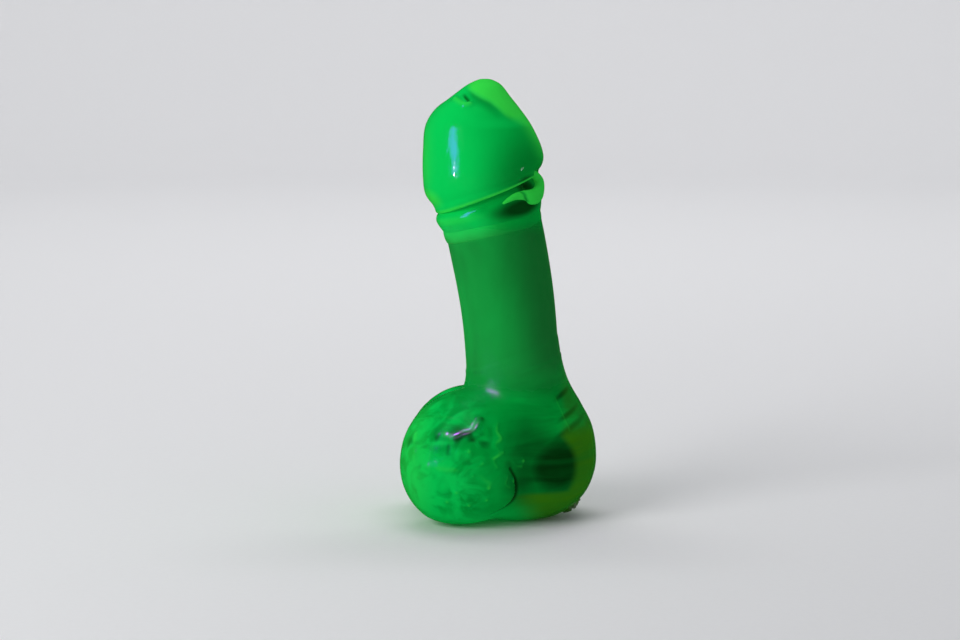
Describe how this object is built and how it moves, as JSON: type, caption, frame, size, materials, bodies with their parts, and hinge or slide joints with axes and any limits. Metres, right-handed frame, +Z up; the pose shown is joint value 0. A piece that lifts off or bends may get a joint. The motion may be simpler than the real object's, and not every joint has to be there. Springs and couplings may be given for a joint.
{
  "type": "uranium glass figure",
  "caption": "Upright phallic art-glass figure, solid and fluorescent green, with a capped head, neck wraps and a lobed base that stands flat.",
  "frame": {"origin": "on the rest plane, under the middle of the figure's bounding box", "axes": "+Z up along the column, +X towards the heel of the base, -X towards the lobes and the lean of the head, -Y towards the viewer"},
  "size_m": [0.0667, 0.0636, 0.15],
  "materials": {
    "column_glass": "fire-polished, milky with fluorescence",
    "head_glass": "fire-polished, bright yellow-green where it is thick",
    "wrap_glass": "fire-polished, with tool folds",
    "base_glass": "fire-polished, with a wrinkled chill skin on the lobes",
    "scar_glass": "rough, broken off the pontil"
  },
  "bodies": {
    "root": {"column_core": "column_glass", "head_gather": "head_glass", "collar_wrap": "wrap_glass", "neck_trail": "wrap_glass", "fold_bit": "wrap_glass", "root_gather": "base_glass", "near_lobe": "base_glass", "far_lobe": "base_glass", "pontil_scar": "scar_glass"}
  },
  "joints": []
}
